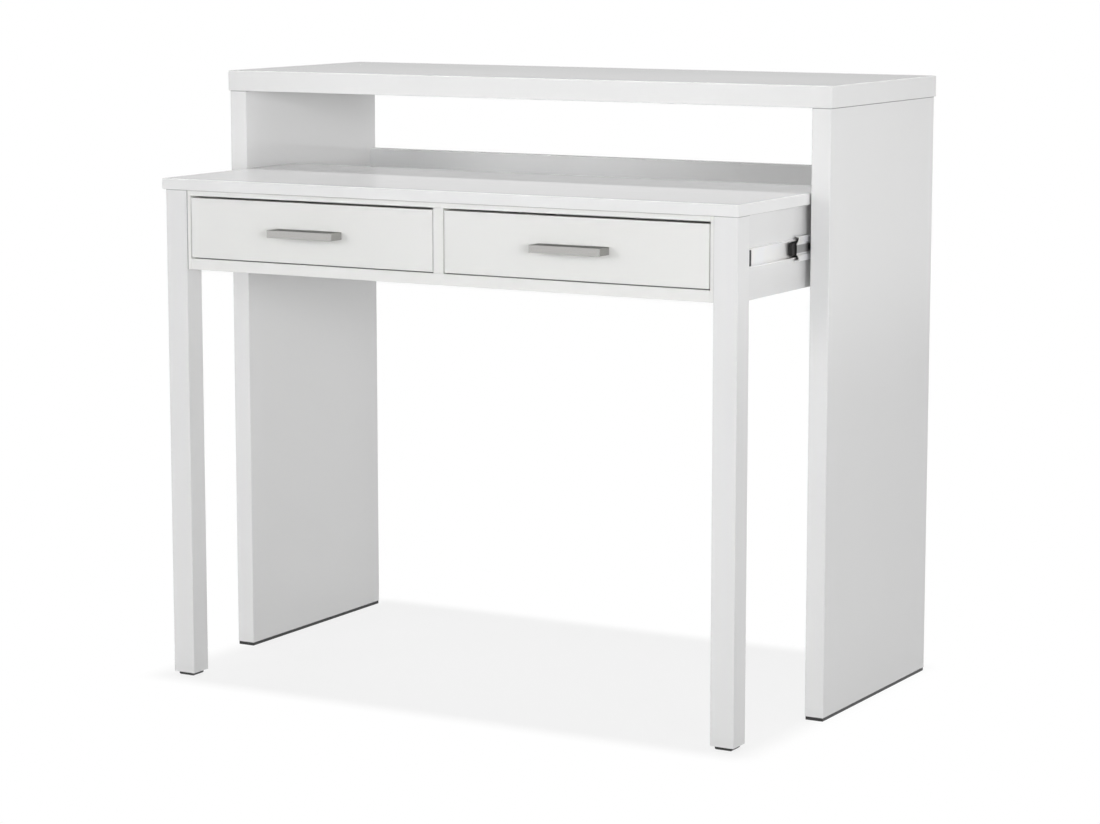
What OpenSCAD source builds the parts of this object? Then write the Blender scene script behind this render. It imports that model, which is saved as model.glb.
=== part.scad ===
// Console with a pull-out desk: a fixed white console of slab and side panels, and a
// two-drawer desk on two front legs that runs out of it on telescopic ball-bearing slides.
// Millimetres, +Z up, front towards -Y. The origin lies on the floor, at the middle of
// the whole piece with the desk drawn out as far as rest_extension says.

$fn = 48;

/* [Console] */
// Width of the console across its top slab
console_width = 986; // [900:1:1200]
// Height of the console above the floor
console_height = 875; // [840:1:1000]
// Thickness of the top slab
slab_thickness = 30; // [18:0.5:38]
// Thickness of each side panel
panel_thickness = 28; // [22:0.5:34]
// How far the slab stands proud of the side panels on every side
slab_overhang = 2; // [0:0.5:4]
// Height of the black strip under each side panel
strip_height = 4.5; // [3:0.5:10]
// How far that strip is set back from the faces of its panel
strip_inset = 1; // [0.5:0.5:3]
// Thickness of the rail across the back
rail_thickness = 16; // [12:0.5:18]
// Height of the rail across the back
rail_height = 140; // [90:1:180]
// How far the back rail stands above the desktop
rail_rise = 10; // [4:1:30]
// Gap that the closed desk leaves to the back rail
desk_rear_gap = 4; // [1:0.5:60]

/* [Desk] */
// How far the desk is drawn out of the console in the modelled pose
rest_extension = 214; // [160:1:280]
// Height of the desktop's upper face above the floor
desk_height = 730; // [680:1:760]
// Thickness of the desktop
desktop_thickness = 16; // [12:0.5:22]
// Gap between the desktop and each console side panel
desk_side_gap = 3; // [2:0.5:5]
// How far the desktop stands proud of the legs at the sides
top_side_overhang = 3; // [0:0.5:6]
// How far the desktop stands proud of the leg faces
top_front_overhang = 5.5; // [2:0.5:6]
// How far the desktop stands proud of the carcass at the back
top_rear_overhang = 0.5; // [0:0.5:2]
// Side of the square front legs
leg_size = 35; // [28:0.5:36]
// Side of the glide under each leg
glide_size = 25; // [18:0.5:27]
// Height of the glide under each leg
glide_height = 5; // [3:0.5:10]
// Bevel round the foot of each glide
glide_bevel = 1.2; // [0.5:0.1:2]
// Radius of the stem that holds a glide in its leg
glide_stem_r = 4; // [3:0.5:5]
// Length of that stem
glide_stem_length = 22; // [12:1:30]

/* [Carcass] */
// How far the carcass and the drawer fronts are set back behind the leg faces
front_set_back = 2; // [0.5:0.5:5]
// Height of the carcass under the desktop
carcass_height = 114; // [110:1:140]
// Thickness of the carcass side and bottom boards
board_thickness = 16; // [15:0.5:18]
// Width of the stile that shows between a leg and the drawer beside it
stile_width = 6; // [4:0.5:10]
// Thickness of the rail above the drawers
top_rail_thickness = 8; // [6:0.5:12]
// Depth of the rail above the drawers
top_rail_depth = 60; // [40:1:90]
// Thickness of the divider between the drawers
divider_thickness = 16; // [12:0.5:18]
// Thickness of the board that closes the back of the carcass
back_thickness = 12; // [8:0.5:14]
// Least depth that stays free in the carcass behind a closed drawer
drawer_rear_gap = 17; // [4:1:60]

/* [Drawers] */
// Thickness of a drawer front
front_thickness = 16; // [14:0.5:18]
// Reveal at each end of a drawer front
side_reveal = 1.5; // [1:0.1:3]
// Reveal under a drawer front
bottom_reveal = 1.5; // [1:0.1:3]
// Reveal above a drawer front
top_reveal = 3; // [1.5:0.1:4]
// Thickness of the drawer sides and back
drawer_side_thickness = 15; // [12:0.5:16]
// Height of the drawer sides
drawer_side_height = 68; // [60:1:74]
// Length of the drawer sides behind the front
drawer_side_length = 285; // [240:1:330]
// Gap between a drawer side and the board beside it
drawer_side_gap = 2; // [1.5:0.1:3]
// How far the drawer sides stand above the bottom board
drawer_lift = 5; // [3:0.5:8]
// Thickness of the drawer bottom
drawer_bottom_thickness = 3; // [3:0.5:4]
// Height of the drawer bottom above the lower edge of the sides
drawer_bottom_rise = 9; // [8:0.5:12]
// Depth of the groove that holds the drawer bottom
bottom_groove_depth = 4; // [3:0.5:5]
// Height of the runner strip that carries a drawer side
runner_height = 16.6; // [12:0.1:18]
// How far the runner strip reaches into its groove
runner_reach = 6; // [5:0.5:6.5]
// Running clearance of a runner strip in its groove
runner_clearance = 0.35; // [0.3:0.05:0.6]

/* [Handles] */
// Length of a handle
handle_length = 108; // [90:1:160]
// How far a handle stands out from its drawer front
handle_projection = 27; // [20:0.5:34]
// Height of a handle
handle_height = 10.5; // [10:0.5:16]
// Wall thickness of the cast handle
handle_wall = 2.5; // [2:0.1:3]
// Distance between the two handle screws
handle_pitch = 96; // [64:1:96]
// Radius of the handle's edges
handle_radius = 0.6; // [0.5:0.1:1.2]
// Shank radius of a handle screw
handle_screw_r = 2; // [1.5:0.1:2.2]
// How far a handle screw goes into its boss
handle_screw_grip = 10; // [8:0.5:14]

/* [Telescopic slide] */
// Length of each slide member
slide_length = 290; // [260:1:350]
// Thickness of the slide between console panel and carcass
slide_thickness = 12.7; // [12.7:0.1:14]
// Height of the outer slide member
slide_height = 45; // [45:0.5:50]
// Gap between a leg and the slide member behind it
slide_leg_gap = 1; // [0.5:0.1:2]
// Least distance of that member's other end from the back of the carcass
slide_rear_gap = 6; // [1:0.5:20]
// Distance of the outer member's end screws from its ends
outer_screw_inset = 35; // [25:1:60]
// Distance of the inner member's last screw from its rear end
inner_screw_inset = 21; // [12:1:40]
// Radius of the corners at the ends of the inner member
member_corner_r = 4; // [2:0.5:6]
// Radius of the spare fixing slots in the inner and outer members
slot_r = 2.3; // [2:0.1:2.5]
// Length of those slots
slot_length = 10; // [7:0.5:14]
// Radius of the holes in the middle member that a screwdriver passes through
access_hole_r = 5; // [4:0.5:6]
// Height of the tab that stops the middle member at the back
stop_height = 12; // [8:0.5:14]
// Gap that the closed middle member leaves to that tab
stop_gap = 0.8; // [0.5:0.1:1.5]
// Length of the bumper in the front end of the inner member
bumper_length = 4; // [3:0.5:8]
// Radius of the peg that holds the bumper in the member's web
bumper_peg_r = 2; // [1.5:0.1:2.5]
// Distance of the inner member's first screw from the lever's arm
lever_screw_gap = 18; // [8:1:40]
// Thickness of the rolled steel
sheet = 1.2; // [1:0.05:1.3]
// Diameter of the balls between outer and middle member
outer_ball_d = 4.4; // [4:0.1:4.6]
// Diameter of the balls between middle and inner member
inner_ball_d = 3.5; // [3.2:0.1:3.6]
// Clearance of a ball in its raceway
race_clearance = 0.25; // [0.2:0.05:0.3]
// Depth of a raceway in its flange
race_depth = 0.4; // [0.3:0.05:0.5]
// Number of balls in each row
row_balls = 7; // [4:1:8]
// Thickness of a ball cage
cage_sheet = 0.6; // [0.5:0.05:0.6]
// Length of a ball cage
cage_length = 140; // [100:1:140]
// Clearance between a cage and what runs beside it
cage_gap = 0.4; // [0.3:0.05:0.4]
// Length of the release lever's head
lever_head_length = 14; // [12:1:26]
// Height of the release lever's head
lever_head_height = 17; // [12:0.5:17]
// Bevel at the corners of that head
lever_bevel = 1.5; // [1:0.1:3]
// Number of grip grooves across that head
lever_grooves = 4; // [3:1:6]
// Length of the release lever's arm
lever_arm_length = 40; // [25:1:50]
// Height of the release lever's arm
lever_arm_height = 8; // [7:0.5:9]
// Height of the slot that makes the arm springy
lever_slot_height = 2; // [1.5:0.1:3]

/* [Edges and joinery] */
// Edge radius of the lacquered boards that show
edge_radius = 1.2; // [0.5:0.1:2]
// Edge radius of the legs and the thin boards
fine_radius = 0.6; // [0.3:0.1:1]
// Radius of a joinery dowel
dowel_r = 4; // [3:0.5:4]
// Length of a joinery dowel
dowel_length = 30; // [20:1:32]
// Distance of the end dowels from the ends of their joint
dowel_end_distance = 50; // [30:1:80]
// Radial clearance of a dowel or screw in its hole
hole_clearance = 0.05; // [0.02:0.01:0.1]
// Radius of the wood screws that fix the slides
wood_screw_r = 1.8; // [1.5:0.1:2.2]
// How far those screws go into their board
wood_screw_depth = 11; // [8:0.5:12]

/* [Hidden] */

white_lacquer = [0.93, 0.93, 0.92];
drawer_white = [0.92, 0.91, 0.89];
birch = [0.84, 0.74, 0.58];
steel = [0.75, 0.76, 0.78];
nickel = [0.6, 0.59, 0.57];
black = [0.08, 0.08, 0.08];

// The carcass is as deep as its slides and its drawers need, and the console as the closed desk needs
slide_room = leg_size + slide_leg_gap + slide_length + slide_rear_gap;
drawer_room = front_set_back + front_thickness + drawer_side_length + drawer_rear_gap + back_thickness;
carcass_depth = max(slide_room, drawer_room);
desk_depth = top_front_overhang + carcass_depth + top_rear_overhang;
console_depth = desk_depth + desk_rear_gap + rail_thickness + slab_overhang;

// Depth of the whole piece in the modelled pose, handles included
rest_depth = console_depth + rest_extension + handle_projection - front_set_back - top_front_overhang;
console_rear_y = rest_depth / 2;
console_front_y = console_rear_y - console_depth;
desk_front_y = console_front_y - rest_extension;
desk_rear_y = desk_front_y + desk_depth;
// Plane of the leg faces
face_y = desk_front_y + top_front_overhang;
// Plane of the drawer fronts and of the boards round them
carcass_front_y = face_y + front_set_back;

slab_x = console_width / 2;
slab_bottom_z = console_height - slab_thickness;
panel_outer_x = slab_x - slab_overhang;
panel_inner_x = panel_outer_x - panel_thickness;
panel_front_y = console_front_y + slab_overhang;
panel_rear_y = console_rear_y - slab_overhang;
rail_top_z = desk_height + rail_rise;
rail_front_y = panel_rear_y - rail_thickness;

desk_x = panel_inner_x - desk_side_gap;
desktop_bottom_z = desk_height - desktop_thickness;
leg_outer_x = desk_x - top_side_overhang;
leg_inner_x = leg_outer_x - leg_size;
leg_rear_y = face_y + leg_size;
leg_mid_x = leg_inner_x + leg_size / 2;
leg_mid_y = face_y + leg_size / 2;
carcass_outer_x = panel_inner_x - slide_thickness;
carcass_inner_x = carcass_outer_x - board_thickness;
carcass_bottom_z = desktop_bottom_z - carcass_height;
carcass_rear_y = face_y + carcass_depth;
back_front_y = carcass_rear_y - back_thickness;

// One drawer opening, on the right-hand side
opening_x0 = divider_thickness / 2;
opening_x1 = leg_inner_x - stile_width;
opening_z0 = carcass_bottom_z + board_thickness;
opening_z1 = desktop_bottom_z - top_rail_thickness;
drawer_mid_x = (opening_x0 + opening_x1) / 2;
front_z0 = opening_z0 + bottom_reveal;
front_z1 = opening_z1 - top_reveal;
front_rear_y = carcass_front_y + front_thickness;
side_z0 = opening_z0 + drawer_lift;
side_z1 = side_z0 + drawer_side_height;
side_rear_y = front_rear_y + drawer_side_length;
side_outer_x0 = opening_x0 + drawer_side_gap;
side_outer_x1 = opening_x1 - drawer_side_gap;
drawer_floor_z = side_z0 + drawer_bottom_rise;
runner_shift = 3;
runner_end_gap = 4;
runner_z = (side_z0 + side_z1) / 2 + runner_shift;
handle_z = (front_z0 + front_z1) / 2;
handle_boss_r = 4;
handle_hole_depth = handle_screw_grip + 2;
thread_clearance = 0.02;

// Slide stations, as distances from the console panel towards the desk
slide_z = desktop_bottom_z - carcass_height / 2;
stage_travel = slide_length / 2;
inner_front_y = leg_rear_y + slide_leg_gap;
middle_front_y = inner_front_y + stage_travel;
outer_front_y = inner_front_y + rest_extension;
stage_one_rest = rest_extension - stage_travel;
outer_ball_r = outer_ball_d / 2;
inner_ball_r = inner_ball_d / 2;
outer_race_r = outer_ball_r + race_clearance;
inner_race_r = inner_ball_r + race_clearance;
outer_cage_s = sheet + cage_gap;
middle_s = outer_cage_s + cage_sheet + cage_gap;
middle_recess = 1;
inner_cage_s = middle_s + middle_recess + sheet + cage_gap;
inner_tip_s = inner_cage_s + cage_sheet + cage_gap;
inner_web_s = slide_thickness - sheet;
flange_recess = 1.7;
member_reach = slide_thickness - flange_recess;
outer_ball_set = 2.3;
outer_ball_s = middle_s + outer_ball_set;
inner_ball_set = 2.6;
inner_ball_s = inner_tip_s + inner_ball_set;
race_split_s = (outer_ball_s + inner_ball_s) / 2;
outer_ball_z = slide_height / 2 - sheet - outer_race_r;
outer_flange_z = outer_ball_z + outer_race_r - race_depth;
middle_top_z = outer_ball_z - outer_race_r + race_depth;
middle_under_z = middle_top_z - sheet;
inner_ball_z = middle_under_z + race_depth - inner_race_r;
inner_top_z = inner_ball_z - inner_race_r + race_depth;
web_step_z = 7.5;
nose_length = 5;
lip_depth = 2.5;
cage_end_gap = 2;
outer_cage_lip = 0.9;
inner_cage_lip = 0.5;
// A cage starts this far behind the front of its channel when the slide is closed
cage_start = stage_travel / 2 + cage_end_gap;
ball_pitch = cage_length / row_balls;
window_clearance = 0.12;
lever_web_gap = 0.3;
lever_cage_gap = 0.5;
lever_member_gap = 1;
lever_s0 = inner_cage_s + cage_sheet + lever_cage_gap;
lever_s1 = inner_web_s - lever_web_gap;
lever_front_y = middle_front_y - lever_head_length - lever_member_gap;
lever_arm_end_y = lever_front_y + lever_head_length + lever_arm_length;
lever_pin_y = lever_arm_end_y - lever_arm_height / 2;
lever_pin_r = 1.8;
lever_neck = 5;
lever_groove_r = 0.9;
lever_groove_depth = 0.5;
lever_pin_clearance = 0.3;
outer_screw_places = [
    for (offset = [outer_screw_inset, slide_length / 2, slide_length - outer_screw_inset])
        outer_front_y + offset
];
inner_screw_places = [
    lever_arm_end_y + lever_screw_gap,
    inner_front_y + slide_length - inner_screw_inset
];
outer_slot_places = [
    for (k = [0, 1]) (outer_screw_places[k] + outer_screw_places[k + 1]) / 2
];
inner_slot_place = (inner_screw_places[0] + inner_screw_places[1]) / 2;
access_places = [
    for (offset = [outer_screw_inset, slide_length - outer_screw_inset]) middle_front_y + offset
];
bumper_side_gap = 0.1;
bumper_corner_r = 1;
bumper_set_back = 0.5;
bumper_mid_y = inner_front_y + bumper_set_back + bumper_length / 2;
stop_front_y = outer_front_y + slide_length - nose_length + stop_gap;
screw_head_r = 3.5;
pan_head_height = 2;

// Shared shapes

module rounded_rect(w, h, r) {
    translate([r, 0]) square([w - 2 * r, h]);
    translate([0, r]) square([w, h - 2 * r]);
    for (x = [r, w - r], y = [r, h - r]) translate([x, y]) circle(r);
}

// Board between two opposite corners, with all its edges eased
module board(lo, hi, r = edge_radius) {
    size = hi - lo;
    translate(lo) intersection() {
        linear_extrude(size.z) rounded_rect(size.x, size.y, r);
        translate([0, size.y, 0]) rotate([90, 0, 0]) linear_extrude(size.y) rounded_rect(size.x, size.z, r);
        rotate([90, 0, 90]) linear_extrude(size.x) rounded_rect(size.y, size.z, r);
    }
}

module block(lo, hi) {
    translate(lo) cube(hi - lo);
}

module on_left() {
    mirror([1, 0, 0]) children();
}

// Cylinder from a point along +X, +Y or +Z
module rod_x(p, r, length) {
    translate(p) rotate([0, 90, 0]) cylinder(r = r, h = length);
}

module rod_y(p, r, length) {
    translate(p) rotate([-90, 0, 0]) cylinder(r = r, h = length);
}

module rod_z(p, r, length) {
    translate(p) cylinder(r = r, h = length);
}

// Round-ended slot through a sheet that faces along X, running along Y or upright
module slot_x(p, r, length, depth, upright = false) {
    half = length / 2 - r;
    way = upright ? [0, 0, half] : [0, half, 0];
    wide = upright ? [0, r, 0] : [0, 0, r];
    for (side = [-1, 1]) rod_x(p + side * way, r, depth);
    block(p - way - wide, p + way + wide + [depth, 0, 0]);
}

// Console

// Dowels that locate the slab on a panel, and the rail between the panels
module console_joints(gain = 0) {
    panel_dowel_pitch = (panel_rear_y - panel_front_y) / 2 - dowel_end_distance;
    for (side = [-1, 1]) {
        for (k = [0:2])
            rod_z([
                side * (panel_inner_x + panel_thickness / 2),
                panel_front_y + dowel_end_distance + k * panel_dowel_pitch,
                slab_bottom_z - dowel_length / 2 - gain
            ], dowel_r + gain, dowel_length + 2 * gain);
        for (z = [rail_top_z - rail_height / 4, rail_top_z - 3 * rail_height / 4])
            rod_x([
                side * panel_inner_x - dowel_length / 2 - gain,
                rail_front_y + rail_thickness / 2,
                z
            ], dowel_r + gain, dowel_length + 2 * gain);
    }
}

module console_top() {
    color(white_lacquer) difference() {
        board([-slab_x, console_front_y, slab_bottom_z], [slab_x, console_rear_y, console_height]);
        console_joints(hole_clearance);
    }
}

// Flat-headed screws that hold the outer slide member to the panel
module outer_screw_shapes(gain = 0) {
    for (y = outer_screw_places)
        translate([panel_inner_x, y, slide_z]) rotate([0, 90, 0]) {
            translate([0, 0, -sheet])
                cylinder(r1 = screw_head_r + gain, r2 = wood_screw_r + gain, h = sheet);
            translate([0, 0, -0.01]) cylinder(r = wood_screw_r + gain, h = wood_screw_depth + 0.01 + gain);
        }
}

module console_side_right() {
    color(white_lacquer) difference() {
        board([panel_inner_x, panel_front_y, strip_height], [panel_outer_x, panel_rear_y, slab_bottom_z]);
        console_joints(hole_clearance);
        outer_screw_shapes(hole_clearance);
    }
}

module console_side_left() {
    on_left() console_side_right();
}

module console_back_rail() {
    color(white_lacquer) difference() {
        board([-panel_inner_x, rail_front_y, rail_top_z - rail_height],
            [panel_inner_x, panel_rear_y, rail_top_z], fine_radius);
        console_joints(hole_clearance);
    }
}

module base_strip_right() {
    color(black) block([panel_inner_x + strip_inset, panel_front_y + strip_inset, 0],
        [panel_outer_x - strip_inset, panel_rear_y - strip_inset, strip_height]);
}

module base_strip_left() {
    on_left() base_strip_right();
}

module console_dowels() {
    color(birch) console_joints();
}

// Telescopic slide, drawn on the right-hand side.
// Profiles lie in (s, z): s runs from the console panel towards the desk.

module along_slide(front_y, length) {
    translate([panel_inner_x, front_y, slide_z]) mirror([1, 0, 0])
        translate([0, length, 0]) rotate([90, 0, 0]) linear_extrude(length) children();
}

module both_flanges() {
    children();
    mirror([0, 1]) children();
}

// Flange whose face at height near runs past a ball, rolled into a raceway round it
module raceway_flange(s0, s1, near, ball_s, ball_z, race_r) {
    away = near > ball_z ? 1 : -1;
    far = near + away * sheet;
    difference() {
        union() {
            translate([s0, min(near, far)]) square([s1 - s0, sheet]);
            intersection() {
                translate([ball_s, ball_z]) circle(race_r + sheet);
                translate([s0, away > 0 ? near : near - race_r]) square([s1 - s0, race_r]);
            }
        }
        translate([ball_s, ball_z]) circle(race_r);
    }
}

module outer_profile() {
    translate([0, -outer_flange_z - sheet]) square([sheet, 2 * (outer_flange_z + sheet)]);
    both_flanges() {
        raceway_flange(0, member_reach, outer_flange_z, outer_ball_s, outer_ball_z, outer_race_r);
        translate([member_reach - sheet, outer_flange_z - lip_depth]) square([sheet, lip_depth + sheet]);
    }
}

module middle_web_profile() {
    polygon([
        [middle_s, middle_top_z], [middle_s, web_step_z + middle_recess],
        [middle_s + middle_recess, web_step_z], [middle_s + middle_recess, -web_step_z],
        [middle_s, -web_step_z - middle_recess], [middle_s, -middle_top_z],
        [middle_s + sheet, -middle_top_z], [middle_s + sheet, -web_step_z - middle_recess],
        [middle_s + middle_recess + sheet, -web_step_z], [middle_s + middle_recess + sheet, web_step_z],
        [middle_s + sheet, web_step_z + middle_recess], [middle_s + sheet, middle_top_z]
    ]);
}

module middle_profile() {
    middle_web_profile();
    both_flanges() {
        raceway_flange(middle_s, race_split_s, middle_top_z, outer_ball_s, outer_ball_z, outer_race_r);
        raceway_flange(race_split_s, member_reach, middle_under_z, inner_ball_s, inner_ball_z, inner_race_r);
    }
}

module inner_profile() {
    translate([inner_web_s, -inner_top_z]) square([sheet, 2 * inner_top_z]);
    both_flanges()
        raceway_flange(inner_tip_s, slide_thickness, inner_top_z, inner_ball_s, inner_ball_z, inner_race_r);
}

module cage_profile(web_s, reach_s, row_z) {
    translate([web_s, -row_z - cage_sheet / 2]) square([cage_sheet, 2 * row_z + cage_sheet]);
    both_flanges()
        translate([web_s, row_z - cage_sheet / 2]) square([reach_s - web_s, cage_sheet]);
}

// Places its children at each ball of the two rows of a cage
module at_balls(front_y, ball_s, row_z) {
    for (k = [0:row_balls - 1], side = [-1, 1])
        translate([panel_inner_x - ball_s, front_y + ball_pitch * (k + 0.5), slide_z + side * row_z])
            children();
}

module cage(front_y, web_s, reach_s, ball_s, row_z, ball_r) {
    difference() {
        along_slide(front_y, cage_length) cage_profile(web_s, reach_s, row_z);
        at_balls(front_y, ball_s, row_z)
            cylinder(r = ball_r + window_clearance, h = 3 * cage_sheet, center = true);
    }
}

// A tab bent out of the web stops the middle member, and leaves its own window in front of it
module slide_outer_right() {
    stop_reach = middle_s + middle_recess + sheet;
    color(steel) {
        difference() {
            along_slide(outer_front_y, slide_length) outer_profile();
            outer_screw_shapes(hole_clearance);
            for (y = outer_slot_places)
                slot_x([panel_inner_x - sheet - 1, y, slide_z], slot_r, slot_length, sheet + 2);
            block([panel_inner_x - sheet - 1, stop_front_y - stop_reach, slide_z - stop_height / 2],
                [panel_inner_x + 1, stop_front_y, slide_z + stop_height / 2]);
        }
        block([panel_inner_x - stop_reach, stop_front_y, slide_z - stop_height / 2],
            [panel_inner_x, stop_front_y + sheet, slide_z + stop_height / 2]);
    }
}

module slide_outer_left() {
    on_left() slide_outer_right();
}

module slide_outer_screws() {
    color(steel) {
        outer_screw_shapes();
        on_left() outer_screw_shapes();
    }
}

// The web of the middle member runs on past its flanges in a bevelled nose
module slide_middle_right() {
    color(steel) difference() {
        intersection() {
            along_slide(middle_front_y - nose_length, slide_length) middle_profile();
            rotate([90, 0, 90]) linear_extrude(panel_inner_x)
                polygon([
                    [middle_front_y - nose_length, slide_z + web_step_z],
                    [middle_front_y, slide_z + web_step_z + nose_length],
                    [middle_front_y + race_clearance, slide_z + slide_height / 2],
                    [middle_front_y + slide_length, slide_z + slide_height / 2],
                    [middle_front_y + slide_length, slide_z - slide_height / 2],
                    [middle_front_y + race_clearance, slide_z - slide_height / 2],
                    [middle_front_y, slide_z - web_step_z - nose_length],
                    [middle_front_y - nose_length, slide_z - web_step_z]
                ]);
        }
        for (y = access_places)
            rod_x([carcass_outer_x, y, slide_z], access_hole_r, slide_thickness);
    }
}

module slide_middle_left() {
    on_left() slide_middle_right();
}

module inner_screw_shapes(gain = 0) {
    for (y = inner_screw_places)
        rod_x([carcass_outer_x - wood_screw_depth - gain, y, slide_z],
            wood_screw_r + gain, wood_screw_depth + sheet + 2 * gain);
}

module slide_inner_right() {
    color(steel) difference() {
        intersection() {
            along_slide(inner_front_y, slide_length) inner_profile();
            translate([0, inner_front_y, slide_z - inner_top_z]) rotate([90, 0, 90])
                linear_extrude(panel_inner_x) rounded_rect(slide_length, 2 * inner_top_z, member_corner_r);
        }
        inner_screw_shapes(hole_clearance);
        slot_x([carcass_outer_x - 1, inner_slot_place, slide_z], slot_r, slot_length, sheet + 2,
            upright = true);
        rod_x([carcass_outer_x - 1, lever_pin_y, slide_z], lever_pin_r + hole_clearance, sheet + 2);
        rod_x([carcass_outer_x - 1, bumper_mid_y, slide_z], bumper_peg_r + hole_clearance, sheet + 2);
    }
}

module slide_inner_left() {
    on_left() slide_inner_right();
}

// Moulded bumper between the flanges of the inner member, held by a peg in the web
module slide_bumper_right() {
    half = inner_top_z - race_depth - sheet - bumper_side_gap;
    color(black) {
        translate([panel_inner_x - inner_web_s, bumper_mid_y - bumper_length / 2, slide_z - half])
            rotate([90, 0, 90]) linear_extrude(inner_web_s - inner_tip_s)
                rounded_rect(bumper_length, 2 * half, bumper_corner_r);
        rod_x([carcass_outer_x, bumper_mid_y, slide_z], bumper_peg_r, 2 * sheet);
    }
}

module slide_bumper_left() {
    on_left() slide_bumper_right();
}

module slide_inner_screws() {
    module pair() {
        inner_screw_shapes();
        for (y = inner_screw_places)
            rod_x([carcass_outer_x + sheet, y, slide_z], screw_head_r, pan_head_height);
    }
    color(steel) {
        pair();
        on_left() pair();
    }
}

module outer_ball_cages() {
    module one() {
        cage(outer_front_y + cage_start - stage_one_rest / 2, outer_cage_s,
            outer_ball_s + outer_ball_r + outer_cage_lip, outer_ball_s, outer_ball_z, outer_ball_r);
    }
    color(steel) {
        one();
        on_left() one();
    }
}

module outer_balls() {
    module rows() {
        at_balls(outer_front_y + cage_start - stage_one_rest / 2, outer_ball_s, outer_ball_z)
            sphere(outer_ball_r);
    }
    color(steel) {
        rows();
        on_left() rows();
    }
}

module inner_ball_cages() {
    module one() {
        cage(middle_front_y + cage_start - stage_travel / 2, inner_cage_s,
            inner_ball_s + inner_ball_r + inner_cage_lip, inner_ball_s, inner_ball_z, inner_ball_r);
    }
    color(black) {
        one();
        on_left() one();
    }
}

module inner_balls() {
    module rows() {
        at_balls(middle_front_y + cage_start - stage_travel / 2, inner_ball_s, inner_ball_z)
            sphere(inner_ball_r);
    }
    color(steel) {
        rows();
        on_left() rows();
    }
}

module lever_pins() {
    module pin() {
        rod_x([panel_inner_x - slide_thickness, lever_pin_y, slide_z], lever_pin_r,
            slide_thickness - lever_s0);
    }
    color(steel) {
        pin();
        on_left() pin();
    }
}

// Moulded lever in the inner channel: a thumb head with grip grooves on a slotted, springy arm
// that turns on its pin
module release_lever_right() {
    head_z = lever_head_height / 2;
    arm_z = lever_arm_height / 2;
    head_end_y = lever_front_y + lever_head_length;
    neck_y = head_end_y + lever_neck;
    slot_end_y = lever_pin_y - lever_arm_height;
    groove_pitch = (lever_head_length - 2 * lever_bevel) / lever_grooves;
    arm_end = [for (a = [90:-15:-90]) [lever_pin_y + arm_z * cos(a), slide_z + arm_z * sin(a)]];
    color(black) difference() {
        translate([panel_inner_x - lever_s1, 0, 0]) rotate([90, 0, 90])
            linear_extrude(lever_s1 - lever_s0) difference() {
                polygon(concat(
                    [
                        [neck_y, slide_z - arm_z], [head_end_y, slide_z - head_z],
                        [lever_front_y + lever_bevel, slide_z - head_z],
                        [lever_front_y, slide_z - head_z + lever_bevel],
                        [lever_front_y, slide_z + head_z - lever_bevel],
                        [lever_front_y + lever_bevel, slide_z + head_z],
                        [head_end_y, slide_z + head_z], [neck_y, slide_z + arm_z]
                    ],
                    arm_end
                ));
                translate([lever_pin_y, slide_z]) circle(lever_pin_r + lever_pin_clearance);
                translate([neck_y, slide_z - lever_slot_height / 2])
                    square([slot_end_y - neck_y, lever_slot_height]);
                for (y = [neck_y, slot_end_y]) translate([y, slide_z]) circle(lever_slot_height / 2);
            }
        for (k = [0:lever_grooves - 1])
            rod_z([
                panel_inner_x - lever_s0 + lever_groove_r - lever_groove_depth,
                lever_front_y + lever_bevel + groove_pitch * (k + 0.5),
                slide_z - head_z - 1
            ], lever_groove_r, lever_head_height + 2);
    }
}

module release_lever_left() {
    on_left() release_lever_right();
}

// Desk

// Dowels that locate the desktop on the legs and the carcass sides
module desk_joints(gain = 0) {
    for (side = [-1, 1]) {
        rod_z([side * leg_mid_x, leg_mid_y, desktop_bottom_z - dowel_length + desktop_thickness / 2 - gain],
            dowel_r + gain, dowel_length + 2 * gain);
        for (y = [leg_rear_y + dowel_end_distance, carcass_rear_y - dowel_end_distance])
            rod_z([side * (carcass_inner_x + board_thickness / 2), y,
                desktop_bottom_z - dowel_length + desktop_thickness / 2 - gain],
                dowel_r + gain, dowel_length + 2 * gain);
    }
}

module desktop() {
    color(white_lacquer) difference() {
        board([-desk_x, desk_front_y, desktop_bottom_z], [desk_x, desk_rear_y, desk_height]);
        desk_joints(hole_clearance);
    }
}

module desk_leg_right() {
    color(white_lacquer) difference() {
        board([leg_inner_x, face_y, glide_height], [leg_outer_x, leg_rear_y, desktop_bottom_z], fine_radius);
        desk_joints(hole_clearance);
        rod_z([leg_mid_x, leg_mid_y, glide_height - 1], glide_stem_r + hole_clearance,
            glide_stem_length + hole_clearance + 1);
    }
}

module desk_leg_left() {
    on_left() desk_leg_right();
}

// Square moulded glide with a bevelled foot, and a stem that is pressed into the end of the leg
module leg_glide_right() {
    half = glide_size / 2;
    foot = [
        [-half + glide_bevel, 0], [half - glide_bevel, 0], [half, glide_bevel],
        [half, glide_height], [-half, glide_height], [-half, glide_bevel]
    ];
    color(black) translate([leg_mid_x, leg_mid_y, 0]) {
        intersection() {
            translate([0, half, 0]) rotate([90, 0, 0]) linear_extrude(glide_size) polygon(foot);
            translate([-half, 0, 0]) rotate([90, 0, 90]) linear_extrude(glide_size) polygon(foot);
        }
        rod_z([0, 0, glide_height / 2], glide_stem_r, glide_height / 2 + glide_stem_length);
    }
}

module leg_glide_left() {
    on_left() leg_glide_right();
}

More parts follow.
